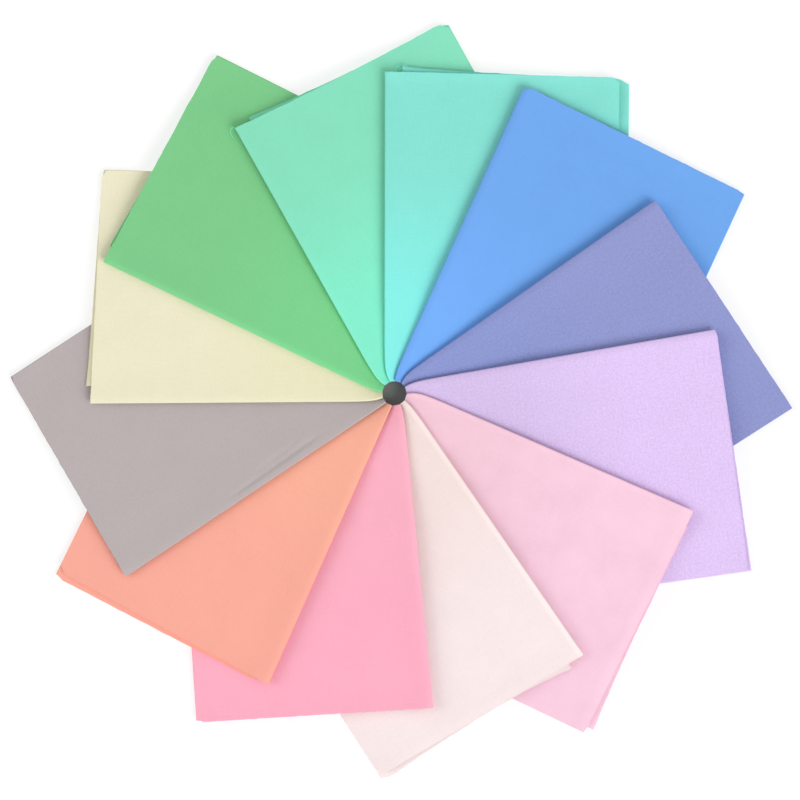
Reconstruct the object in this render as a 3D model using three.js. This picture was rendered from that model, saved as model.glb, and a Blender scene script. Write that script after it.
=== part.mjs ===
// A stack of twelve fat quarters, fanned into a pinwheel round a small hole. Each is a plain cotton cloth
// that is doubled, then folded back and forth in thirds. Each lies over the next one anticlockwise, all
// the way round, so the pile has no top piece: every cloth climbs from its trailing fold, which rests on
// the table, to its leading fold, which lies over its neighbours.
// Millimetres, +Z up, the table at Z = 0.
import * as THREE from 'three';
import { mergeVertices } from 'three/addons/utils/BufferGeometryUtils.js';

const { degToRad, radToDeg, lerp, smoothstep } = THREE.MathUtils;

// The cloth and its folds
const SHEET = 1.0; // the doubled cloth
const LAYER_GAP = 0.3; // air between two folded layers
const LAYER_PITCH = SHEET + LAYER_GAP;
const FOLDED = 3 * SHEET + 2 * LAYER_GAP; // one folded fat quarter
const BEND = LAYER_PITCH / 2; // radius of a fold, at the middle of the cloth
const BEND_STEPS = 3;
const FOLD_REACH = BEND + SHEET / 2; // from a fold's centre to its outer face

// The pile
const PILE_GAP = 1.0; // air between one fat quarter and the next
const PILE_STEP = FOLDED + PILE_GAP;

// The fan
const SLOT = 30; // degrees from one fat quarter to the next
const FIRST_SLOT = 4.3; // angle of the first slot, degrees
const HOLE_RADIUS = 9.5; // from the fan's centre to the inner ends
const FAN_CENTRE = new THREE.Vector3(-4.5, 5.4, 0); // the hole, off the middle of the outline

// How a fat quarter climbs over its neighbours
const SWEEP = 87; // degrees from its leading fold back to its trailing fold
const CORE_DROP = 40; // degrees less close round the hole
const CORE_REACH = 15; // how far out from the hole that fades
const RIM_DROP = 52; // degrees less out at the corners, where the trailing fold cuts the sweep short
const RIM_START = 160; // that drop comes between these distances from the centre
const RIM_END = 325;
const FOOT = 0.42; // share of a slot along the trailing fold that lies flat on the table
const FOOT_START = 30; // the flat foot widens between these distances from the centre
const FOOT_END = 120;
const SLACK = 0.25; // share of a slot by which a fat quarter may lag behind its place

// Rows and columns of the folded surface, closer together near the hole, where it twists most
const ROWS = [0, 0.03, 0.08, 0.16, 0.28, 0.44, 0.64, 0.86, 1]; // share of the length from the inner end
const COLUMNS_FROM_LEAD = [FOLD_REACH, 6, 14, 27, 48, 80, 120]; // distances from the leading fold
const FOOT_COLUMN = 30; // distance of one more column from the trailing fold
const TUCK_COLUMN = 2; // the bottom layer's raw edge is tucked under here
const COLUMN_COUNT = COLUMNS_FROM_LEAD.length + 3;
const LAST_COLUMN = COLUMN_COUNT - 1;
const LAST_ROW = ROWS.length - 1;

// One row for each fat quarter, anticlockwise: the angle of its leading fold, how far that fold passes
// ahead of the fan's centre, how far it reaches from there, its width at the outer end, the lean of that
// end and the splay of the trailing fold in degrees, how far the top layer's raw edge is set back from
// the trailing fold, and how far the lower layers stick out of the outer end, at the trailing fold and
// at the tucked edge.
const FAT_QUARTERS = [
  { name: 'lavender', colour: '#dcc6f2', lead: 9.8, ahead: 6.7, reach: 263, width: 192,
    lean: 2.1, splay: 1.7, setback: 4, trailOut: 3, tuckOut: -2 },
  { name: 'periwinkle', colour: '#9ea5dc', lead: 34.9, ahead: 7.5, reach: 258, width: 197,
    lean: 1.4, splay: 2.2, setback: 3, trailOut: 1, tuckOut: -3 },
  { name: 'cornflower', colour: '#78acf4', lead: 65.8, ahead: 6, reach: 266, width: 193,
    lean: 1.8, splay: 0.6, setback: 3, trailOut: 1, tuckOut: -2 },
  { name: 'turquoise', colour: '#88e6d6', lead: 89.9, ahead: 8, reach: 257, width: 193,
    lean: 2, splay: 0.5, setback: 6.5, trailOut: -5, tuckOut: 6 },
  { name: 'mint', colour: '#84e6c3', lead: 119.3, ahead: 7.5, reach: 245, width: 188,
    lean: 2.2, splay: 0.2, setback: 3, trailOut: 1, tuckOut: 5 },
  { name: 'green', colour: '#80ce90', lead: 154.5, ahead: 5.5, reach: 254, width: 186,
    lean: 2.7, splay: 1, setback: 3, trailOut: 2, tuckOut: 3 },
  { name: 'cream', colour: '#ece9c6', lead: 180.4, ahead: 6.6, reach: 243, width: 187,
    lean: 3.2, splay: 2, setback: 4, trailOut: 0, tuckOut: 4 },
  { name: 'grey', colour: '#bab0b1', lead: 213.7, ahead: 2.9, reach: 258, width: 185,
    lean: 3.2, splay: 0.6, setback: 3, trailOut: 1, tuckOut: -2 },
  { name: 'peach', colour: '#feb1a0', lead: 246.1, ahead: 2.3, reach: 254, width: 191,
    lean: 4.6, splay: 2, setback: 4, trailOut: 5, tuckOut: 3 },
  { name: 'pink', colour: '#feb3c6', lead: 275.7, ahead: 6, reach: 252, width: 188,
    lean: 2, splay: 1.8, setback: 3, trailOut: 1, tuckOut: -2 },
  { name: 'ivory', colour: '#fcecea', lead: 304.6, ahead: 5.8, reach: 258, width: 189,
    lean: 3.6, splay: 2, setback: 3, trailOut: 1, tuckOut: 5 },
  { name: 'blush', colour: '#fcd2e5', lead: 336.6, ahead: 8.9, reach: 257, width: 197,
    lean: 2.6, splay: 2, setback: 4, trailOut: 3, tuckOut: 3 },
];

// Height of a fat quarter's underside, at a distance from the fan's centre and an angle ahead of its
// slot. A turn of 0 is its trailing fold, and one slot further round it lies over one more neighbour.
function underside(radius, angle) {
  const core = CORE_DROP * Math.exp((HOLE_RADIUS - radius) / CORE_REACH);
  const rim = RIM_DROP * smoothstep(radius, RIM_START, RIM_END);
  const turn = (angle + SWEEP - core - rim) / SLOT;
  const foot = FOOT * smoothstep(radius, FOOT_START, FOOT_END);
  return PILE_STEP * Math.max(0, turn + SLACK) * smoothstep(turn, foot, 1 - SLACK);
}

// A place across one folded layer: level 0 is the bottom layer, and face says which way the cloth's first
// side looks there, up or down.
function layerPlace(column, level, face) {
  return { column, level, out: 0, lift: SHEET / 2 + level * LAYER_PITCH, normalOut: 0, normalUp: face };
}

// The places round one fold, from the layer at a level to the one above. A trailing fold bulges away from
// the leading fold and turns the cloth's first side inwards, a leading fold the other way.
function foldPlaces(column, level, trailing) {
  const bulge = trailing ? 1 : -1;
  const places = [];
  for (let step = 1; step < BEND_STEPS; step += 1) {
    const angle = Math.PI * (step / BEND_STEPS - 0.5);
    places.push({
      column,
      level,
      out: bulge * BEND * Math.cos(angle),
      lift: SHEET / 2 + (level + 0.5) * LAYER_PITCH + BEND * Math.sin(angle),
      normalOut: -Math.cos(angle),
      normalUp: -bulge * Math.sin(angle),
    });
  }
  return places;
}

// The back-and-forth section: the bottom layer from its tucked raw edge out to the trailing fold, the
// middle layer back to the leading fold, and the top layer out again to its own raw edge.
function backAndForth() {
  const columns = [...Array(COLUMN_COUNT).keys()];
  return [
    ...columns.slice(TUCK_COLUMN).map((column) => layerPlace(column, 0, 1)),
    ...foldPlaces(LAST_COLUMN, 0, true),
    ...columns.toReversed().map((column) => layerPlace(column, 1, -1)),
    ...foldPlaces(0, 1, false),
    ...columns.slice(0, LAST_COLUMN).map((column) => layerPlace(column, 2, 1)),
  ];
}

// Distance of a column from the leading fold, at a share of the fat quarter's length.
function acrossAt(fatQuarter, column, share) {
  const { reach, width, splay, setback } = fatQuarter;
  const widthHere = width - (reach - HOLE_RADIUS) * (1 - share) * Math.tan(degToRad(splay));
  const fromTrail = [FOOT_COLUMN, setback, FOLD_REACH];
  return COLUMNS_FROM_LEAD[column] ?? widthHere - fromTrail[column - COLUMNS_FROM_LEAD.length];
}

// A point of the fat quarter's underside, in the frame of its leading fold: x runs outwards along the
// fold from beside the fan's centre, y is the distance ahead of the centre, and z is the height.
function gridPoint(fatQuarter, slotAngle, column, row) {
  const { lead, ahead, reach, lean } = fatQuarter;
  const across = acrossAt(fatQuarter, column, ROWS[row]);
  const end = reach - across * Math.tan(degToRad(lean));
  const x = lerp(HOLE_RADIUS, end, ROWS[row]);
  const y = ahead - across;
  const angle = radToDeg(Math.atan2(y, x)) + lead - slotAngle;
  return new THREE.Vector3(x, y, underside(Math.hypot(x, y), angle));
}

// How far a layer sticks out of the outer end at a column.
function endDrift(fatQuarter, column, level) {
  const { width, trailOut, tuckOut } = fatQuarter;
  const share = acrossAt(fatQuarter, column, 1) / width;
  const atLead = [tuckOut, 0, 0][level];
  const atTrail = [trailOut, trailOut, 0][level];
  return lerp(atLead, atTrail, share);
}

// Cuts every cell of the strip along the same diagonal as seen from above, also where the cloth runs back,
// so that its two sides and its layers twist alike. Each cell is six indices: corners a, b, d and b, c, d.
function cutCellsAlike(index, spots) {
  for (let i = 0; i < index.count; i += 6) {
    const a = index.getX(i);
    const c = index.getX(i + 4);
    const b = spots[index.getX(i + 1)];
    const d = spots[index.getX(i + 2)];
    if ((b.row - d.row) * (b.place.column - d.place.column) < 0) {
      index.setX(i + 2, c);
      index.setX(i + 3, a);
    }
  }
}

// The outer end of a layer at a column: a layer that sticks out carries on along the column's slope, which
// is eased where the layer that sticks out furthest would meet the table.
function endPoint(fatQuarter, slotAngle, column, level) {
  const before = gridPoint(fatQuarter, slotAngle, column, LAST_ROW - 1);
  const step = gridPoint(fatQuarter, slotAngle, column, LAST_ROW).sub(before);
  const drifts = [0, 1, 2].map((each) => endDrift(fatQuarter, column, each));
  step.z = Math.max(step.z, -before.z * step.x / (step.x + Math.max(...drifts)));
  return before.addScaledVector(step, 1 + drifts[level] / step.x);
}

// One fat quarter: a flat strip of doubled cloth, a row of points at a time, laid along its folds.
function fatQuarterGeometry(fatQuarter, slotAngle) {
  const places = backAndForth();
  const lastPlace = places.length - 1;
  const strip = new THREE.BoxGeometry(LAST_ROW, lastPlace, 1, LAST_ROW, lastPlace, 1);
  strip.deleteAttribute('normal');
  strip.deleteAttribute('uv');
  const cloth = mergeVertices(strip);
  const points = cloth.getAttribute('position');
  const spots = [];
  for (let i = 0; i < points.count; i += 1) {
    const row = Math.round(points.getX(i) + LAST_ROW / 2);
    const place = places[Math.round(lastPlace / 2 - points.getY(i))];
    const side = Math.sign(points.getZ(i)) * SHEET / 2;
    const point = row === LAST_ROW
      ? endPoint(fatQuarter, slotAngle, place.column, place.level)
      : gridPoint(fatQuarter, slotAngle, place.column, row);
    point.y -= place.out + side * place.normalOut;
    point.z += place.lift + side * place.normalUp;
    points.setXYZ(i, point.x, point.y, point.z);
    spots.push({ row, place });
  }
  cutCellsAlike(cloth.index, spots);
  cloth.computeVertexNormals();
  return cloth;
}

const fan = new THREE.Group();
fan.position.copy(FAN_CENTRE);
FAT_QUARTERS.forEach((fatQuarter, index) => {
  const slotAngle = FIRST_SLOT + SLOT * index;
  const cotton = new THREE.MeshStandardMaterial({ color: fatQuarter.colour, roughness: 0.9, metalness: 0 });
  const mesh = new THREE.Mesh(fatQuarterGeometry(fatQuarter, slotAngle), cotton);
  mesh.name = `fat_quarter_${fatQuarter.name}`;
  mesh.rotation.z = degToRad(fatQuarter.lead);
  fan.add(mesh);
});

export default fan;
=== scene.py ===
"""Looks of a fanned stack of twelve folded fat quarters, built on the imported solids.

Each fat quarter is one plain cotton cloth that is doubled, with the doubling fold at the fan's hole, and then folded
back and forth in thirds. The fan is a pinwheel: each cloth lies over the next one anticlockwise, all the way round.
Metres, +Z up, the table at Z = 0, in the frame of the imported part.
"""

import logging
import math
from dataclasses import dataclass, field
from enum import Enum
from typing import Union

import bpy
import numpy as np
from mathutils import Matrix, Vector


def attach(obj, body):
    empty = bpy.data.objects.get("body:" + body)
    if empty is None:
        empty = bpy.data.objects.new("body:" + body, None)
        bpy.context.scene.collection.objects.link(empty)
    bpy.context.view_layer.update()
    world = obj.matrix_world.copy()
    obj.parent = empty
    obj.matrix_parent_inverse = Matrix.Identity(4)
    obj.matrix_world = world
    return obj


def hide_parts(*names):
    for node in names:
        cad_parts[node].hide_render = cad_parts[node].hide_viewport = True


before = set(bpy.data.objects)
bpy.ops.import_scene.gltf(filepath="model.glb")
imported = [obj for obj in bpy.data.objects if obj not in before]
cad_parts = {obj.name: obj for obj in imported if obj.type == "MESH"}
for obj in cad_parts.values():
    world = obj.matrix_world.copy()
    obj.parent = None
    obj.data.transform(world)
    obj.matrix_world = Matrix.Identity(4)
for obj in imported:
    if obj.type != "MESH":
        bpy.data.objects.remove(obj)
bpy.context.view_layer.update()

LOG = logging.getLogger("fat_quarters")
MM = 0.001

Number = Union[float, "Signal"]


class Ply(Enum):
    """The two plies of a doubled cloth, named for how they lie in the bottom layer."""

    UNDER = 0
    OVER = 1


class Seed(Enum):
    """Seeds of the small random shapes, so that every run gives the same cloth."""

    FRAY = 11
    WAVES = 23


def smoothstep(value: np.ndarray, low: np.ndarray | float, high: np.ndarray | float) -> np.ndarray:
    """Smooth rise from 0 at low to 1 at high.

    Args:
        value: where the rise is wanted.
        low: where it starts.
        high: where it ends.

    Returns:
        The rise at each value.
    """
    share = np.clip((value - low) / (high - low), 0.0, 1.0)
    return share * share * (3.0 - 2.0 * share)


class Signal:
    """A shader socket that adds and multiplies like a number."""

    def __init__(self, tree: bpy.types.ShaderNodeTree, socket: bpy.types.NodeSocket) -> None:
        """Wraps one socket of a tree."""
        self.tree = tree
        self.socket = socket

    def node(self, kind: str, settings: dict[str, object], inputs: dict[str | int, object]) -> bpy.types.Node:
        """Adds a node to the tree.

        Args:
            kind: the node's type name.
            settings: its properties.
            inputs: its inputs, by name or number; signals are linked and constants set.

        Returns:
            The new node.
        """
        made = self.tree.nodes.new(kind)
        for name, value in settings.items():
            setattr(made, name, value)
        for name, value in inputs.items():
            if isinstance(value, Signal):
                self.tree.links.new(value.socket, made.inputs[name])
            else:
                made.inputs[name].default_value = value
        return made

    def take(self, kind: str, settings: dict[str, object], inputs: dict[str | int, object], out: str) -> "Signal":
        """Adds a node and returns one of its outputs as a signal."""
        return Signal(self.tree, self.node(kind, settings, inputs).outputs[out])

    def maths(self, operation: str, first: Number, second: Number = 0.0) -> "Signal":
        """Adds a maths node for two numbers or signals."""
        return self.take("ShaderNodeMath", {"operation": operation}, {0: first, 1: second}, "Value")

    def __add__(self, other: Number) -> "Signal":
        """Sum."""
        return self.maths("ADD", self, other)

    def __radd__(self, other: Number) -> "Signal":
        """Sum with a number on the left."""
        return self.maths("ADD", other, self)

    def __sub__(self, other: Number) -> "Signal":
        """Difference."""
        return self.maths("SUBTRACT", self, other)

    def __rsub__(self, other: Number) -> "Signal":
        """Difference with a number on the left."""
        return self.maths("SUBTRACT", other, self)

    def __mul__(self, other: Number) -> "Signal":
        """Product."""
        return self.maths("MULTIPLY", self, other)

    def __rmul__(self, other: Number) -> "Signal":
        """Product with a number on the left."""
        return self.maths("MULTIPLY", other, self)

    def sine(self) -> "Signal":
        """Sine, in radians."""
        return self.maths("SINE", self)

    def size(self) -> "Signal":
        """The number without its sign."""
        return self.maths("ABSOLUTE", self)

    def rise(self, low: float, high: float) -> "Signal":
        """Smooth rise from 0 at low to 1 at high."""
        inputs = {"Value": self, "From Min": low, "From Max": high, "To Min": 0.0, "To Max": 1.0}
        return self.take("ShaderNodeMapRange", {"interpolation_type": "SMOOTHSTEP"}, inputs, "Result")


@dataclass(frozen=True)
class Cotton:
    """Plain weave cotton of one colour.

    Attributes:
        colour: linear red, green and blue.
        inner: what the colour is multiplied by beside the fan's hole: painted light and shade, lighter where the
            cloth there catches more light and darker where it lies in shade.
        rim: painted highlight along its leading fold, where the rounded fold catches the light; below 0 it paints
            shade there instead, where the fold turns away from the light.
        hem: how much lighter it is along its outer raw edge.
        along: how much the tone varies in streaks along the cloth.
        across: how much it varies in streaks across the cloth.
        grain: how much the tone varies from thread to thread.
        mottle: how much the tone varies in soft patches.
        thread: distance from one thread of the weave to the next, in metres.
        roughness: how matt the cloth is.
    """

    STREAKS_ALONG = (70.0, 1100.0, 1.0)
    STREAKS_ACROSS = (1100.0, 70.0, 1.0)
    GRAIN_SCALE = (560.0, 560.0, 1.0)
    PATCH_SCALE = (45.0, 45.0, 1.0)
    FOLD_LIGHT_BAND = (1.0 * MM, 6.0 * MM)
    HEM_BAND = (11 * MM, 3 * MM)
    HOLE_LIGHT_BAND = (60 * MM, 195 * MM)
    BUMP_SHARE = 0.5
    BUMP_STRENGTH = 0.35
    BUMP_DEPTH = 0.12 * MM
    SHINE = 0.25
    SHEEN = 0.1

    colour: tuple[float, float, float]
    inner: tuple[float, float, float] = (1.0, 1.0, 1.0)
    rim: float = 0.0
    hem: float = 0.0
    along: float = 0.015
    across: float = 0.015
    grain: float = 0.02
    mottle: float = 0.012
    thread: float = 0.42 * MM
    roughness: float = 0.9

    def material(self, name: str, reach: float) -> bpy.types.Material:
        """Makes the material.

        Args:
            name: the material's name.
            reach: how far the cloth's outer raw edge is from the fan's centre.

        Returns:
            A material that reads the cloth's own coordinates, in metres, from its UV map.
        """
        made = bpy.data.materials.new(name)
        made.use_nodes = True
        tree = made.node_tree
        shader = tree.nodes["Principled BSDF"]
        uv_node = tree.nodes.new("ShaderNodeUVMap")
        uv_node.uv_map = FatQuarter.UV_NAME
        cloth = Signal(tree, uv_node.outputs["UV"])
        warp = self.streaks(cloth, self.STREAKS_ALONG)
        weft = self.streaks(cloth, self.STREAKS_ACROSS)
        grain = self.streaks(cloth, self.GRAIN_SCALE)
        patches = self.streaks(cloth, self.PATCH_SCALE)
        outward, beside_fold = (place.size() for place in self.places(cloth))
        # painted highlight or shade in a band along the leading fold, where the rounded fold catches or turns from
        # the light
        rim = 1.0 - beside_fold.rise(*self.FOLD_LIGHT_BAND)
        hem = outward.rise(*(reach - depth for depth in self.HEM_BAND))
        # painted light and shade beside the fan's hole, fading out towards the outer end
        hole_light_mask = 1.0 - outward.rise(*self.HOLE_LIGHT_BAND)
        tone = 1.0 + warp * self.along + weft * self.across + grain * self.grain + patches * self.mottle
        # the fold's painted highlight or shade and the lighter outer raw edge are added to the cloth's tone here
        tone = tone + rim * self.rim + hem * self.hem
        # the colour is lit or shaded beside the hole by inner, then takes the tone with the fold's painted light
        change = tuple(part * (times - 1.0) for part, times in zip(self.colour, self.inner))
        hole_light_shift = cloth.take("ShaderNodeVectorMath", {"operation": "SCALE"}, {0: change, "Scale": hole_light_mask}, "Vector")
        mixed = cloth.take("ShaderNodeVectorMath", {"operation": "ADD"}, {0: hole_light_shift, 1: self.colour}, "Vector")
        toned_and_lit = cloth.take("ShaderNodeVectorMath", {"operation": "SCALE"}, {0: mixed, "Scale": tone}, "Vector")
        tree.links.new(toned_and_lit.socket, shader.inputs["Base Color"])
        height = self.weave(cloth) * self.BUMP_SHARE + (warp + weft) * self.BUMP_SHARE + grain * self.BUMP_SHARE
        bump_inputs = {"Strength": self.BUMP_STRENGTH, "Distance": self.BUMP_DEPTH, "Height": height}
        bump = cloth.take("ShaderNodeBump", {}, bump_inputs, "Normal")
        tree.links.new(bump.socket, shader.inputs["Normal"])
        shader.inputs["Roughness"].default_value = self.roughness
        shader.inputs["Specular IOR Level"].default_value = self.SHINE
        shader.inputs["Sheen Weight"].default_value = self.SHEEN
        return made

    def streaks(self, cloth: Signal, scale: tuple[float, float, float]) -> Signal:
        """Noise between -1 and 1, drawn out by the scale of each direction."""
        stretched = cloth.take("ShaderNodeVectorMath", {"operation": "MULTIPLY"}, {0: cloth, 1: scale}, "Vector")
        inputs = {"Vector": stretched, "Scale": 1.0, "Detail": 2.0, "Roughness": 0.55}
        noise = cloth.take("ShaderNodeTexNoise", {}, inputs, "Fac")
        return noise * 4.0 - 2.0

    def places(self, cloth: Signal) -> tuple[Signal, Signal]:
        """The cloth's two coordinates: outwards from the doubling fold, and across from the leading fold."""
        parts = cloth.node("ShaderNodeSeparateXYZ", {}, {0: cloth})
        return Signal(cloth.tree, parts.outputs["X"]), Signal(cloth.tree, parts.outputs["Y"])

    def weave(self, cloth: Signal) -> Signal:
        """Height of the plain weave: threads go over and under each other by turns."""
        along, across = self.places(cloth)
        turn = math.pi / self.thread
        return (along * turn).sine() * (across * turn).sine()


@dataclass(frozen=True)
class Fan:
    """The pinwheel: where its cloths lie and how they climb over each other.

    Angles are in degrees; a turn of 0 is a cloth's trailing fold, and one slot further round it lies over one more
    neighbour.
    """

    centre: tuple[float, float] = (-4.5 * MM, 5.4 * MM)
    slot: float = 30.0
    first_slot: float = 4.3
    hole_radius: float = 9.5 * MM
    pile_step: float = 4.6 * MM
    sweep: float = 87.0
    core_drop: float = 40.0
    core_reach: float = 15 * MM
    rim_drop: float = 52.0
    rim_start: float = 160 * MM
    rim_end: float = 325 * MM
    foot: float = 0.05
    foot_start: float = 30 * MM
    foot_end: float = 120 * MM
    slack: float = 0.25

    def underside(self, radius: np.ndarray, angle: np.ndarray) -> np.ndarray:
        """Height of a cloth's underside.

        Args:
            radius: distances from the fan's centre.
            angle: angles ahead of the cloth's slot.

        Returns:
            Heights over the table.
        """
        core = self.core_drop * np.exp((self.hole_radius - radius) / self.core_reach)
        rim = self.rim_drop * smoothstep(radius, self.rim_start, self.rim_end)
        turn = (angle + self.sweep - core - rim) / self.slot
        foot = self.foot * smoothstep(radius, self.foot_start, self.foot_end)
        lift = np.maximum(0.0, turn + self.slack)
        return self.pile_step * lift * smoothstep(turn, foot, 1.0 - self.slack)


@dataclass(frozen=True)
class Crease:
    """A soft straight trough or ridge in a cloth, in millimetres along and across its leading fold."""

    start: tuple[float, float]
    end: tuple[float, float]
    height: float
    width: float

    def lift(self, along: np.ndarray, across: np.ndarray) -> np.ndarray:
        """Height that the crease adds.

        Args:
            along: distances along the leading fold, in metres.
            across: distances across from it, in metres.

        Returns:
            Heights in metres.
        """
        base = np.array(self.start) * MM
        run = np.array(self.end) * MM - base
        length = float(np.hypot(*run))
        share = ((along - base[0]) * run[0] + (across - base[1]) * run[1]) / length**2
        off = ((across - base[1]) * run[0] - (along - base[0]) * run[1]) / length
        ends = smoothstep(share, -0.15, 0.2) * (1.0 - smoothstep(share, 0.8, 1.15))
        return self.height * MM * ends * np.exp(-((off / (self.width * MM)) ** 2))


@dataclass
class FatQuarter:
    """One fat quarter: a doubled cloth folded back and forth in thirds.

    Lengths are in millimetres and angles in degrees.

    Attributes:
        name: the cloth's colour, which names its piece and its finish and picks out its node of the part.
        cotton: what it is made of.
        index: its place in the fan, anticlockwise.
        lead: the angle of its leading fold.
        ahead: how far the leading fold lies to the side of the fan's centre.
        reach: how far out the outer end is at the leading fold.
        width: its width at the outer end.
        lean: how much the outer end slants in towards the trailing fold.
        splay: how much the cloth narrows towards the hole.
        setback: how far the top raw edge lies inside the trailing fold.
        under_drift: how far the under ply sticks out of the outer end at the tucked edge, the trailing fold, the
            leading fold and the top raw edge.
        over_drift: the same for the over ply.
        middle: the drift between those places, in the bottom layer.
        fade: how closely a drift keeps to its place; 1 is an even change.
        corner: rounding of the outer corner at the trailing fold.
        nose: rounding of the outer corner at the leading fold.
        bow: how far the outer end bulges between its corners.
        stand: how far the leading fold stands off the cloth below.
        curl: how far the top raw edge stands up at its outer end.
        lip: how far the top layer turns up along the outer end.
        waves: strength of the soft waves.
        creases: troughs and ridges.
        threads: frayed threads at the raw edges.
        ply: thickness of one ply.
        pitch: distance from one ply to the next.
        tuck: how far the tucked edge lies inside the leading fold.
        rows: number of rows of points along each ply.
        fan: the fan that the cloth lies in.
    """

    UV_NAME = "cloth"
    SMOOTH_ANGLE = 50
    BOTTOM_PLACES = 32
    MIDDLE_PLACES = 40
    TOP_PLACES = 60
    TOP_CROWDING = 1.7
    ROW_CROWDING = 1.35
    FOLD_STEPS = 6
    HOLE_ROOM = 0.7 * MM
    STRAIGHT_AHEAD = 3.9
    BEND_REACH = 6 * MM
    CURL_THIRDS = (2.9, 3.0)
    CURL_RUN = (205 * MM, 235 * MM)
    LIP_THIRDS = (2.0, 2.15)
    LIP_DEPTH = 12 * MM
    FRAY = 0.12 * MM
    WAVE_LENGTHS = (34.0, 52.0, 80.0)
    WAVE_TURN = 0.5
    WAVE_HEIGHT = 0.0012
    FOLD_DROP = 0.5 * MM
    FOLD_DROP_WIDTH = 2.6 * MM
    FOLD_DROP_POWER = 1.5
    STAND_WIDTH = 18 * MM
    STAND_RUN = (40 * MM, 120 * MM)

    name: str
    cotton: Cotton
    index: int
    lead: float
    ahead: float
    reach: float
    width: float
    lean: float
    splay: float
    setback: float
    under_drift: tuple[float, float, float, float]
    over_drift: tuple[float, float, float, float]
    middle: float = 0.0
    fade: float = 1.0
    corner: float = 1.0
    nose: float = 0.0
    bow: float = 0.0
    stand: float = 0.0
    curl: float = 0.0
    lip: float = 0.9
    waves: float = 1.0
    creases: tuple[Crease, ...] = ()
    threads: tuple["LooseThread", ...] = ()
    ply: float = 0.42
    pitch: float = 0.66
    tuck: float = 14.0
    rows: int = 54
    fan: Fan = field(default_factory=Fan)

    def build(self) -> bpy.types.Object:
        """Makes the cloth's mesh.

        Returns:
            The new object, in the frame of the part.
        """
        points, cloth_uv = self.surface()
        sides = self.thicken(points)
        mesh = self.mesh(sides, cloth_uv)
        made = bpy.data.objects.new(f"cotton_{self.name}", mesh)
        bpy.context.scene.collection.objects.link(made)
        bpy.ops.object.select_all(action="DESELECT")
        made.select_set(True)
        bpy.context.view_layer.objects.active = made
        bpy.ops.object.shade_smooth_by_angle(angle=math.radians(self.SMOOTH_ANGLE))
        return made

    def dress(self, made: bpy.types.Object, loose: list[bpy.types.Object], below: list[str]) -> None:
        """Gives the cloth and its threads their finish, puts them under the root body and hides the cloth's node of
        the part.

        Args:
            made: the cloth.
            loose: separate threads that belong to it.
            below: the names of what it lies on; not used.
        """
        material = self.cotton.material(f"{self.name}_cotton", self.reach * MM)
        for piece in [made, *loose]:
            piece.data.materials.append(material)
            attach(piece, "root")
        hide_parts(f"fat_quarter_{self.name}")

    def section(self, ply: Ply) -> dict[str, np.ndarray]:
        """The back-and-forth section of one ply.

        Args:
            ply: which of the two plies.

        Returns:
            For every place along the section: its share of the width between the folds' centres, how far it is out
            from there, its height, and its number of thirds from the tucked edge.
        """
        heights = {Ply.UNDER: (0, 3, 4), Ply.OVER: (1, 2, 5)}[ply]
        levels = [(self.ply / 2 + level * self.pitch) * MM for level in heights]
        inner = self.width - 2 * self.fold_reach
        tuck = (self.tuck - self.fold_reach) / inner
        top = 1.0 - (self.setback - self.fold_reach) / inner
        places: list[tuple[float, float, float, float]] = []
        for share in np.linspace(0.0, 1.0, self.BOTTOM_PLACES):
            places.append((tuck + (1.0 - tuck) * share, 0.0, levels[0], share))
        places += self.bend(levels[0], levels[1], 1.0, 1.0)
        for share in np.linspace(0.0, 1.0, self.MIDDLE_PLACES):
            places.append((1.0 - share, 0.0, levels[1], 1.0 + share))
        places += self.bend(levels[1], levels[2], 0.0, 2.0)
        for share in np.linspace(0.0, 1.0, self.TOP_PLACES):
            places.append((top * share**self.TOP_CROWDING, 0.0, levels[2], 2.0 + share))
        columns = np.array(places).T
        return {"share": columns[0], "out": columns[1], "height": columns[2], "third": columns[3]}

    @property
    def fold_reach(self) -> float:
        """Distance from a fold's centre to its outer face, in millimetres."""
        return 1.5 * self.pitch + self.ply / 2

    def bend(self, low: float, high: float, share: float, third: float) -> list[tuple[float, float, float, float]]:
        """The places round one fold.

        Args:
            low: height of the layer below.
            high: height of the layer above.
            share: 1 at the trailing side and 0 at the leading side.
            third: number of thirds from the tucked edge.

        Returns:
            The same four values for each place as in the section.
        """
        radius = (high - low) / 2
        bulge = 1.0 if share > 0.5 else -1.0
        places = []
        for step in range(1, self.FOLD_STEPS):
            angle = math.pi * (step / self.FOLD_STEPS - 0.5)
            places.append((share, bulge * radius * math.cos(angle), low + radius + radius * math.sin(angle), third))
        return places

    def surface(self) -> tuple[np.ndarray, np.ndarray]:
        """The middle of the cloth as a grid of points.

        Returns:
            The points, places by rows by 3, and the cloth's own coordinates, places by rows by 2.
        """
        under = self.section(Ply.UNDER)
        over = self.section(Ply.OVER)
        shares = np.linspace(0.0, 1.0, self.rows) ** self.ROW_CROWDING
        low = self.lay(under, shares, np.array(self.under_drift))
        high = self.lay(over, shares, np.array(self.over_drift))
        middle = (low[:, 0] + high[:, 0]) / 2
        half = (high[:, 0] - low[:, 0]) / 2
        bends = []
        for angle in np.linspace(0.0, math.pi, self.FOLD_STEPS + 1)[1:-1]:
            bent = middle - half * math.cos(angle)
            inward = np.linalg.norm(half, axis=1) * math.sin(angle)
            bent[:, 0] -= inward
            bends.append(bent)
        points = np.concatenate([low[:, ::-1], np.stack(bends, axis=1), high], axis=1)
        steps = np.linalg.norm(np.diff(points[:, self.rows], axis=0), axis=1)
        run = np.concatenate([[0.0], np.cumsum(steps)])
        run = run - np.interp(2.0, over["third"], run)
        outward = self.fan.hole_radius + (self.reach * MM - self.fan.hole_radius) * shares
        lengths = np.concatenate([-outward[::-1], np.zeros(len(bends)), outward])
        cloth_uv = np.stack(np.broadcast_arrays(lengths[None, :], run[:, None]), axis=2)
        return self.place(points), cloth_uv

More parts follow.
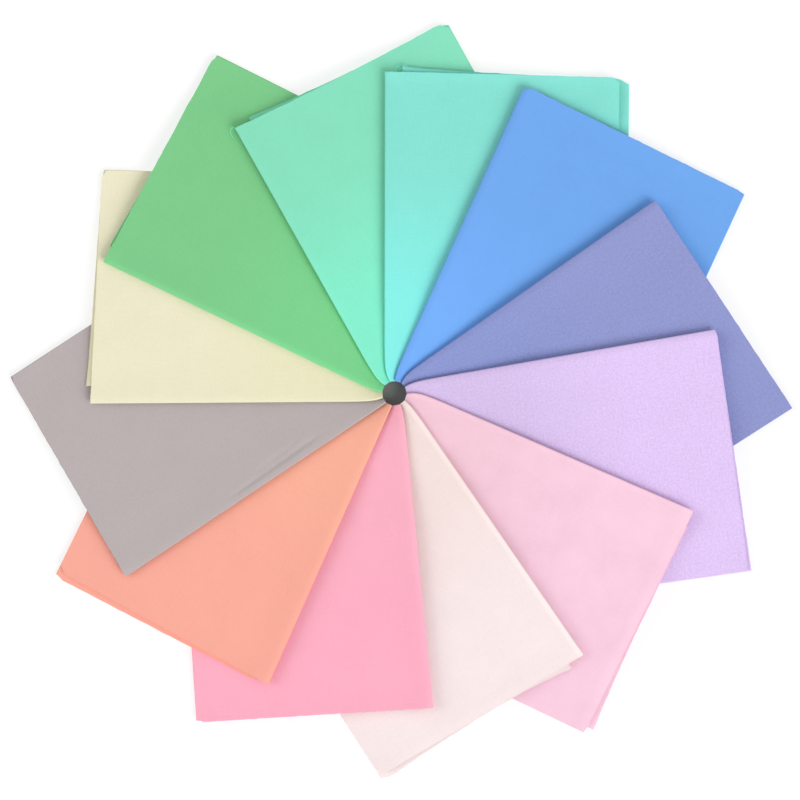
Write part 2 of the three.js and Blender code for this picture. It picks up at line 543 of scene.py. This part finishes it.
    def lay(self, section: dict[str, np.ndarray], shares: np.ndarray, drift: np.ndarray) -> np.ndarray:
        """Lays one ply's section along the fan.

        Args:
            section: the places across.
            shares: the rows along, as shares of the length.
            drift: how far the ply sticks out, in millimetres.

        Returns:
            Points in the frame of the leading fold, places by rows by 3.
        """
        reach = self.fold_reach * MM
        length = self.reach * MM - self.fan.hole_radius
        taper = length * (1.0 - shares)[None, :] * math.tan(math.radians(self.splay))
        inner = self.width * MM - taper - 2 * reach
        across = reach + section["share"][:, None] * inner
        end = self.reach * MM - across * math.tan(math.radians(self.lean))
        end = end + self.stick_out(section["third"], drift)[:, None] * MM
        end = end + self.end_shape(section, across)
        edge = self.fan.hole_radius + self.HOLE_ROOM
        bend = max(0.0, self.ahead - self.STRAIGHT_AHEAD) * MM
        beside_hole = np.clip(self.ahead * MM - bend - across, 0.0, edge)
        start = np.sqrt(edge**2 - beside_hole**2)
        x = start + (end - start) * shares[None, :]
        y = self.ahead * MM - across - bend * np.exp((start - x) / self.BEND_REACH)
        z = self.height_under(x, y)
        z = z + self.unevenness(x, across) * smoothstep(z, 0.0, self.fan.pile_step)
        curled = smoothstep(section["third"], *self.CURL_THIRDS)[:, None] * smoothstep(x, *self.CURL_RUN)
        lip = smoothstep(section["third"], *self.LIP_THIRDS)[:, None] * smoothstep(end - x, self.LIP_DEPTH, 0.0)
        z = z + section["height"][:, None] + (self.curl * curled + self.lip * lip) * MM
        return np.stack([x, y - section["out"][:, None], z], axis=2)

    def height_under(self, x: np.ndarray, y: np.ndarray) -> np.ndarray:
        """Height of the cloth's underside at places in the frame of the leading fold."""
        angle = np.degrees(np.arctan2(y, x)) + self.lead - self.fan.first_slot - self.fan.slot * self.index
        return self.fan.underside(np.hypot(x, y), angle)

    def stick_out(self, third: np.ndarray, drift: np.ndarray) -> np.ndarray:
        """How far a ply sticks out of the outer end.

        Args:
            third: numbers of thirds from the tucked edge.
            drift: how far it sticks out at its four places, in millimetres.

        Returns:
            Distances in millimetres along the section.
        """
        tucked = np.clip(1.0 - third, 0.0, 1.0) ** self.fade
        trailing = np.clip(1.0 - np.abs(third - 1.0), 0.0, 1.0) ** self.fade
        first = self.middle + (drift[0] - self.middle) * tucked + (drift[1] - self.middle) * trailing
        second = drift[2] + (drift[1] - drift[2]) * trailing
        top = drift[2] + (drift[3] - drift[2]) * np.clip(third - 2.0, 0.0, 1.0)
        return np.where(third < 1.0, first, np.where(third < 2.0, second, top))

    def end_shape(self, section: dict[str, np.ndarray], across: np.ndarray) -> np.ndarray:
        """How the outer end departs from a straight line: its bow, its rounded corners and its fray.

        Args:
            section: the places across.
            across: their distances from the leading fold, places by rows.

        Returns:
            Distances outwards in metres, one column.
        """
        share = across[:, -1] / (self.width * MM)
        left = self.width * MM - across[:, -1]
        rounded = self.rounding(left / 2.0, self.corner) + self.rounding(across[:, -1], self.nose)
        on_top = left - self.setback * MM
        rounded += np.where(section["third"] > 2.0, self.rounding(on_top / 3.0, self.corner / 2.0), 0.0)
        fray = np.random.default_rng(Seed.FRAY.value + self.index).normal(0.0, self.FRAY, len(share))
        fray[np.abs(section["out"]) > 0] = 0.0
        return (self.bow * MM * 4.0 * share * (1.0 - share) - rounded + fray)[:, None]

    @staticmethod
    def rounding(left: np.ndarray, radius: float) -> np.ndarray:
        """What a rounded corner takes off the end.

        Args:
            left: distances left to the corner's side, in metres.
            radius: the corner's radius in millimetres.

        Returns:
            Lengths in metres.
        """
        share = np.clip(1.0 - left / max(radius * MM, 1e-6), 0.0, 1.0)
        return radius * MM * (1.0 - np.sqrt(1.0 - share**2))

    def unevenness(self, along: np.ndarray, across: np.ndarray) -> np.ndarray:
        """Soft waves and creases of the whole folded cloth, and the stand of its leading fold.

        Args:
            along: distances outwards along the leading fold.
            across: distances across from it.

        Returns:
            Heights that they add.
        """
        random = np.random.default_rng(Seed.WAVES.value + self.index)
        lift = np.zeros_like(along)
        for length in self.WAVE_LENGTHS:
            heading = random.normal(0.0, self.WAVE_TURN)
            phase = random.uniform(0.0, 2.0 * math.pi)
            run = along * math.cos(heading) + across * math.sin(heading)
            wave = np.sin(2.0 * math.pi * run / (length * MM) + phase)
            lift += self.WAVE_HEIGHT * self.waves * length * MM * wave
        for crease in self.creases:
            lift += crease.lift(along, across)
        lift -= self.FOLD_DROP * np.exp(-((across / self.FOLD_DROP_WIDTH) ** self.FOLD_DROP_POWER))
        beside_fold = np.exp(-((across / self.STAND_WIDTH) ** 2))
        lift += self.stand * MM * beside_fold * smoothstep(along, *self.STAND_RUN)
        return lift

    def place(self, points: np.ndarray) -> np.ndarray:
        """Turns points from the frame of the leading fold into the frame of the part."""
        turn = math.radians(self.lead)
        placed = points.copy()
        placed[..., 0] = points[..., 0] * math.cos(turn) - points[..., 1] * math.sin(turn) + self.fan.centre[0]
        placed[..., 1] = points[..., 0] * math.sin(turn) + points[..., 1] * math.cos(turn) + self.fan.centre[1]
        return placed

    def thicken(self, points: np.ndarray) -> np.ndarray:
        """Gives the cloth its two sides.

        Args:
            points: the middle of the cloth.

        Returns:
            Points, two by places by rows by 3.
        """
        across = np.gradient(points, axis=0)
        along = np.gradient(points, axis=1)
        normals = np.cross(along, across)
        normals /= np.linalg.norm(normals, axis=2, keepdims=True)
        half = self.ply / 2 * MM
        return np.stack([points + normals * half, points - normals * half])

    def mesh(self, sides: np.ndarray, cloth_uv: np.ndarray) -> bpy.types.Mesh:
        """Joins the two sides of the cloth and its raw edges into one closed mesh.

        Args:
            sides: the points of the two sides.
            cloth_uv: the cloth's own coordinates.

        Returns:
            The mesh, with the cloth's coordinates as its UV map.
        """
        ids = np.arange(sides[..., 0].size).reshape(sides.shape[:3])
        quads = [self.quads(ids[0]), self.quads(ids[1])[:, ::-1]]
        for edge in ((slice(None), 0), (slice(None), -1), (0, slice(None)), (-1, slice(None))):
            rim = np.stack([ids[0][edge], ids[1][edge]])
            flip = edge in ((slice(None), 0), (-1, slice(None)))
            quads.append(self.quads(rim)[:, ::-1] if flip else self.quads(rim))
        faces = np.concatenate(quads)
        mesh = bpy.data.meshes.new(f"cotton_{self.name}")
        mesh.from_pydata(sides.reshape(-1, 3).tolist(), [], faces.tolist())
        corner_uv = np.concatenate([cloth_uv, cloth_uv]).reshape(-1, 2)[faces.ravel()]
        layer = mesh.uv_layers.new(name=self.UV_NAME)
        layer.data.foreach_set("uv", corner_uv.astype(np.float32).ravel())
        mesh.validate()
        mesh.update()
        return mesh

    @staticmethod
    def quads(ids: np.ndarray) -> np.ndarray:
        """The quads of a grid of point numbers."""
        corners = [ids[:-1, :-1], ids[:-1, 1:], ids[1:, 1:], ids[1:, :-1]]
        return np.stack(corners, axis=2).reshape(-1, 4)


@dataclass(frozen=True)
class LooseThread:
    """A frayed thread at a raw edge, in millimetres.

    Attributes:
        places: where it runs, along and across the cloth's leading fold.
        rise: how high its loose end lies over what is under the cloth.
        radius: half its thickness.
    """

    DROP = 1.0

    places: tuple[tuple[float, float], ...]
    rise: float = 0.5
    radius: float = 0.2

    def build(self, cloth: FatQuarter, number: int) -> bpy.types.Object:
        """Makes the thread, lying on what is under the cloth.

        Args:
            cloth: the cloth that it has come out of.
            number: the thread's number on that cloth.

        Returns:
            The new object.
        """
        spots = np.array(self.places) * MM
        y = cloth.ahead * MM - spots[:, 1]
        over = np.linspace(self.rise + self.DROP, self.rise, len(spots)) * MM
        z = cloth.height_under(spots[:, 0], y) + over
        path = cloth.place(np.stack([spots[:, 0], y, z], axis=1))
        curve = bpy.data.curves.new(f"thread_{cloth.name}_{number}", "CURVE")
        curve.dimensions = "3D"
        curve.bevel_depth = self.radius * MM
        curve.bevel_resolution = 1
        curve.use_fill_caps = True
        spline = curve.splines.new("NURBS")
        spline.points.add(len(path) - 1)
        spline.points.foreach_set("co", np.concatenate([path, np.ones((len(path), 1))], axis=1).ravel())
        spline.use_endpoint_u = True
        spline.order_u = 3
        made = bpy.data.objects.new(curve.name, curve)
        bpy.context.scene.collection.objects.link(made)
        bpy.ops.object.select_all(action="DESELECT")
        made.select_set(True)
        bpy.context.view_layer.objects.active = made
        bpy.ops.object.convert(target="MESH")
        return bpy.context.active_object


@dataclass(frozen=True)
class Lamp:
    """A wide soft light: the angle that it comes from, its height over the horizon and its spread, in degrees."""

    DISTANCE = 2.0

    angle: float
    height: float
    spread: float
    strength: float

    def build(self, name: str) -> None:
        """Makes the light, aimed at the fan."""
        turn = math.radians(self.angle)
        rise = math.radians(self.height)
        flat = math.cos(rise)
        towards = Vector((flat * math.cos(turn), flat * math.sin(turn), math.sin(rise)))
        bpy.ops.object.light_add(type="SUN", location=towards * self.DISTANCE)
        made = bpy.context.active_object
        made.name = name
        made.rotation_euler = (-towards).to_track_quat("-Z", "Y").to_euler()
        made.data.angle = math.radians(self.spread)
        made.data.energy = self.strength


@dataclass
class Studio:
    """Pale floor with a dark patch that shows through the fan's hole, soft light and a camera straight above. The
    patch stands for the darker surface seen through the hole and is painted shade: it darkens the hole and dims the
    floor's glow under the cloths.
    """

    floor_size: float = 8.0
    camera_height: float = 8.0
    view_width: float = 0.6408
    key: Lamp = Lamp(angle=-42.0, height=40.0, spread=40.0, strength=1.75)
    fill: Lamp = Lamp(angle=172.0, height=30.0, spread=40.0, strength=0.9)
    ambient: float = 0.56
    floor_depth: float = 0.3 * MM
    floor_tone: float = 0.3
    floor_glow: float = 0.7
    # the dark patch: painted shade under the fan, seen through its hole
    patch_radius: float = 90 * MM
    patch_depth: float = 0.15 * MM
    patch_tone: float = 0.3
    sensor_width: float = 36.0
    clip_end: float = 40.0

    def build(self) -> None:
        """Makes the floor, the lights and the camera."""
        self.floor()
        self.light()
        self.camera()
        bpy.context.scene.view_settings.view_transform = "Standard"

    def floor(self) -> None:
        """A plain white floor, just under the cloths, and the dark patch on it, painted shade in the fan's hole and
        under the cloths.
        """
        bpy.ops.object.select_all(action="DESELECT")
        bpy.ops.mesh.primitive_plane_add(size=self.floor_size, location=(0.0, 0.0, -self.floor_depth))
        plane = bpy.context.active_object
        plane.name = "floor"
        plane.data.materials.append(self.paint("white_floor", self.floor_tone, glow=self.floor_glow))
        # the dark patch is painted shade: it darkens the fan's hole and the floor's glow under the cloths
        spot = (*Fan().centre, -self.patch_depth)
        bpy.ops.mesh.primitive_circle_add(vertices=48, radius=self.patch_radius, fill_type="NGON", location=spot)
        patch = bpy.context.active_object
        patch.name = "dark_patch"
        patch.data.materials.append(self.paint("dark_patch", self.patch_tone))

    @staticmethod
    def paint(name: str, tone: float, glow: float = 0.0) -> bpy.types.Material:
        """A plain matt grey material that may glow a little."""
        material = bpy.data.materials.new(name)
        material.use_nodes = True
        shader = material.node_tree.nodes["Principled BSDF"]
        shader.inputs["Base Color"].default_value = (tone, tone, tone, 1.0)
        shader.inputs["Roughness"].default_value = 0.9
        shader.inputs["Emission Color"].default_value = (1.0, 1.0, 1.0, 1.0)
        shader.inputs["Emission Strength"].default_value = glow
        return material

    def light(self) -> None:
        """The two lamps and even light from all round."""
        self.key.build("key")
        self.fill.build("fill")
        world = bpy.data.worlds.new("studio")
        world.use_nodes = True
        world.node_tree.nodes["Background"].inputs["Color"].default_value = (1.0, 1.0, 1.0, 1.0)
        world.node_tree.nodes["Background"].inputs["Strength"].default_value = self.ambient
        bpy.context.scene.world = world

    def camera(self) -> None:
        """A long lens straight above the middle of the fan."""
        bpy.ops.object.camera_add(location=(0.0, 0.0, self.camera_height), rotation=(0.0, 0.0, 0.0))
        made = bpy.context.active_object
        made.data.sensor_width = self.sensor_width
        made.data.lens = self.sensor_width * self.camera_height / self.view_width
        made.data.clip_end = self.clip_end
        bpy.context.scene.camera = made


def fat_quarters() -> list[FatQuarter]:
    """The twelve cloths, anticlockwise from the right."""
    return [
        # rim paints a highlight along each leading fold, and shade there where it is below 0; inner paints light and
        # shade beside the fan's hole
        FatQuarter(
            "lavender",
            Cotton((0.73, 0.556, 0.886), inner=(0.88, 0.905, 0.89), rim=-0.06, across=0.035, grain=0.1),
            index=0, lead=9.8, ahead=6.7, reach=262.3, width=195.5, lean=2.1, splay=1.7, setback=1,
            under_drift=(-2, 2.4, 0, 0), over_drift=(-2, 1.4, 0, 0),
            nose=4, stand=1.8,
            creases=(
                Crease((252, 4), (244, 186), height=-0.5, width=4),
                Crease((236, 4), (229, 186), height=0.6, width=8),
                Crease((206, 30), (200, 186), height=-0.5, width=10),
            ),
        ),
        FatQuarter(
            "periwinkle",
            Cotton((0.272, 0.305, 0.597), inner=(0.92, 0.97, 1.01), rim=-0.06, grain=0.1),
            index=1, lead=34.9, ahead=7.5, reach=259.5, width=199.7, lean=1.4, splay=2.2, setback=0.6,
            under_drift=(-3, 0, -0.5, -0.5), over_drift=(-3, 0, 0, 0),
            nose=4, stand=3,
        ),
        FatQuarter(
            "cornflower",
            Cotton((0.158, 0.383, 0.837), inner=(1.077, 1.077, 1.088), rim=-0.06),
            index=2, lead=65.8, ahead=6, reach=267.2, width=196.5, lean=1.8, splay=0.6, setback=0.6,
            under_drift=(-2, 0, -0.5, -0.5), over_drift=(-2, 0, 0, 0),
            corner=2.5, nose=7, stand=2.6,
            creases=(
                Crease((250, 60), (249, 190), height=-0.6, width=3),
                Crease((222, 20), (230, 120), height=-0.5, width=6),
            ),
        ),
        FatQuarter(
            "turquoise",
            Cotton((0.234, 0.743, 0.637), inner=(1.0, 1.15, 1.225), hem=0.03),
            index=3, lead=89.9, ahead=8, reach=257.2, width=195.7, lean=1.2, splay=0.5, setback=8,
            under_drift=(4.9, -1, 0, -0.5), over_drift=(3.9, -1, 0, 0),
            fade=3, corner=7, stand=2.4, curl=3.2,
            threads=(
                LooseThread(((262.4, 18.8), (262.8, 14.5), (261.7, 10.6), (260, 8.8), (257.5, 8.7))),
                LooseThread(((261.4, 16.5), (260.8, 13), (258.5, 11.5))),
            ),
        ),
        FatQuarter(
            "mint",
            Cotton((0.238, 0.739, 0.508), inner=(0.97, 1.15, 1.185)),
            index=4, lead=119.3, ahead=7.5, reach=247.2, width=189.7, lean=2.2, splay=0.2, setback=0.6,
            under_drift=(3.4, -1, -0.5, -0.5), over_drift=(2.2, -1, 0, 0),
            middle=-1, fade=2, corner=5, bow=-1.6, stand=2.6, lip=0.1,
            threads=(
                LooseThread(((245, 1.5), (249, -1), (248, -4), (244, -5.5), (241, -5)), rise=1.0),
                LooseThread(((246, 2), (248.5, 0), (250, -2.5)), rise=1.4),
            ),
        ),
        FatQuarter(
            "green",
            Cotton((0.202, 0.585, 0.255), inner=(0.97, 1.1, 1.05), rim=0.07),
            index=5, lead=154.5, ahead=5.5, reach=255.3, width=188.8, lean=2.7, splay=1, setback=0.6,
            under_drift=(1.5, -1, -0.5, -0.5), over_drift=(1, -1, 0, 0),
            middle=-1, fade=2, corner=2.5, stand=1,
        ),
        FatQuarter(
            "cream",
            Cotton((0.83, 0.786, 0.572), inner=(1.0, 1.0, 0.95)),
            index=6, lead=180.4, ahead=6.6, reach=243.2, width=187.3, lean=3.2, splay=2, setback=0.6,
            under_drift=(4, 0, -0.5, -0.5), over_drift=(3, 0, 0, 0),
            fade=1.5, corner=3.5, stand=1.2, lip=0.1,
        ),
        FatQuarter(
            "grey",
            Cotton((0.473, 0.419, 0.419), grain=0.04),
            index=7, lead=213.7, ahead=2.9, reach=260.2, width=184.4, lean=3.5, splay=0.6, setback=0.6,
            under_drift=(-2, 0, -0.5, -0.5), over_drift=(-2, 0, 0, 0),
            corner=2, stand=1,
            creases=(
                Crease((150, 6.6), (71, 8.6), height=-1.2, width=1.8),
                Crease((128, 11), (92, 13), height=-0.9, width=1.8),
            ),
        ),
        FatQuarter(
            "peach",
            Cotton((0.925, 0.4, 0.315), inner=(1.03, 1.09, 1.0), rim=0.03),
            index=8, lead=246.1, ahead=2.3, reach=254, width=191.4, lean=4.5, splay=2, setback=0.6,
            under_drift=(2, 5.5, -0.5, -0.5), over_drift=(2, 3, 0, 0),
            corner=4.5, stand=3,
        ),
        FatQuarter(
            "pink",
            Cotton((0.95, 0.413, 0.536), inner=(1.0, 1.05, 1.02), rim=0.05),
            index=9, lead=275.7, ahead=6, reach=253.2, width=189.8, lean=2, splay=1.8, setback=0.6,
            under_drift=(-2, -0.5, -0.5, -0.5), over_drift=(-2, -0.5, 0, 0),
            corner=2.5, stand=3.8,
        ),
        FatQuarter(
            "ivory",
            Cotton((0.898, 0.772, 0.772), inner=(0.975, 0.945, 0.905), rim=0.09, hem=0.02),
            index=10, lead=304.6, ahead=5.8, reach=258, width=189.6, lean=3.6, splay=2, setback=0.6,
            under_drift=(4.5, 5, 0, -0.5), over_drift=(3.2, 4, 0, 0),
            middle=-1, fade=3.5, corner=6, stand=2.4, waves=1.5,
        ),
        FatQuarter(
            "blush",
            Cotton((0.902, 0.588, 0.712), inner=(0.96, 0.945, 0.92), rim=0.05, hem=0.05, mottle=0.03),
            index=11, lead=336.6, ahead=8.9, reach=257, width=193, lean=2.6, splay=2, setback=-5,
            under_drift=(1.5, 5, 0, 0), over_drift=(1.2, 4, 0, 0),
            middle=1, fade=3, waves=2.5, stand=2.4,
        ),
    ]


def main() -> None:
    """Builds the cloths and the studio."""
    logging.basicConfig(level=logging.INFO)
    cloths = fat_quarters()
    names = [f"fat_quarter_{cloth.name}" for cloth in cloths]
    for number, cloth in enumerate(cloths):
        made = cloth.build()
        below = names[(number + 1) % len(names)]
        loose = [thread.build(cloth, place) for place, thread in enumerate(cloth.threads)]
        cloth.dress(made, loose, [below, "table"])
        LOG.info("%s: %d polygons", made.name, len(made.data.polygons))
    Studio().build()


if __name__ == "__main__":
    main()
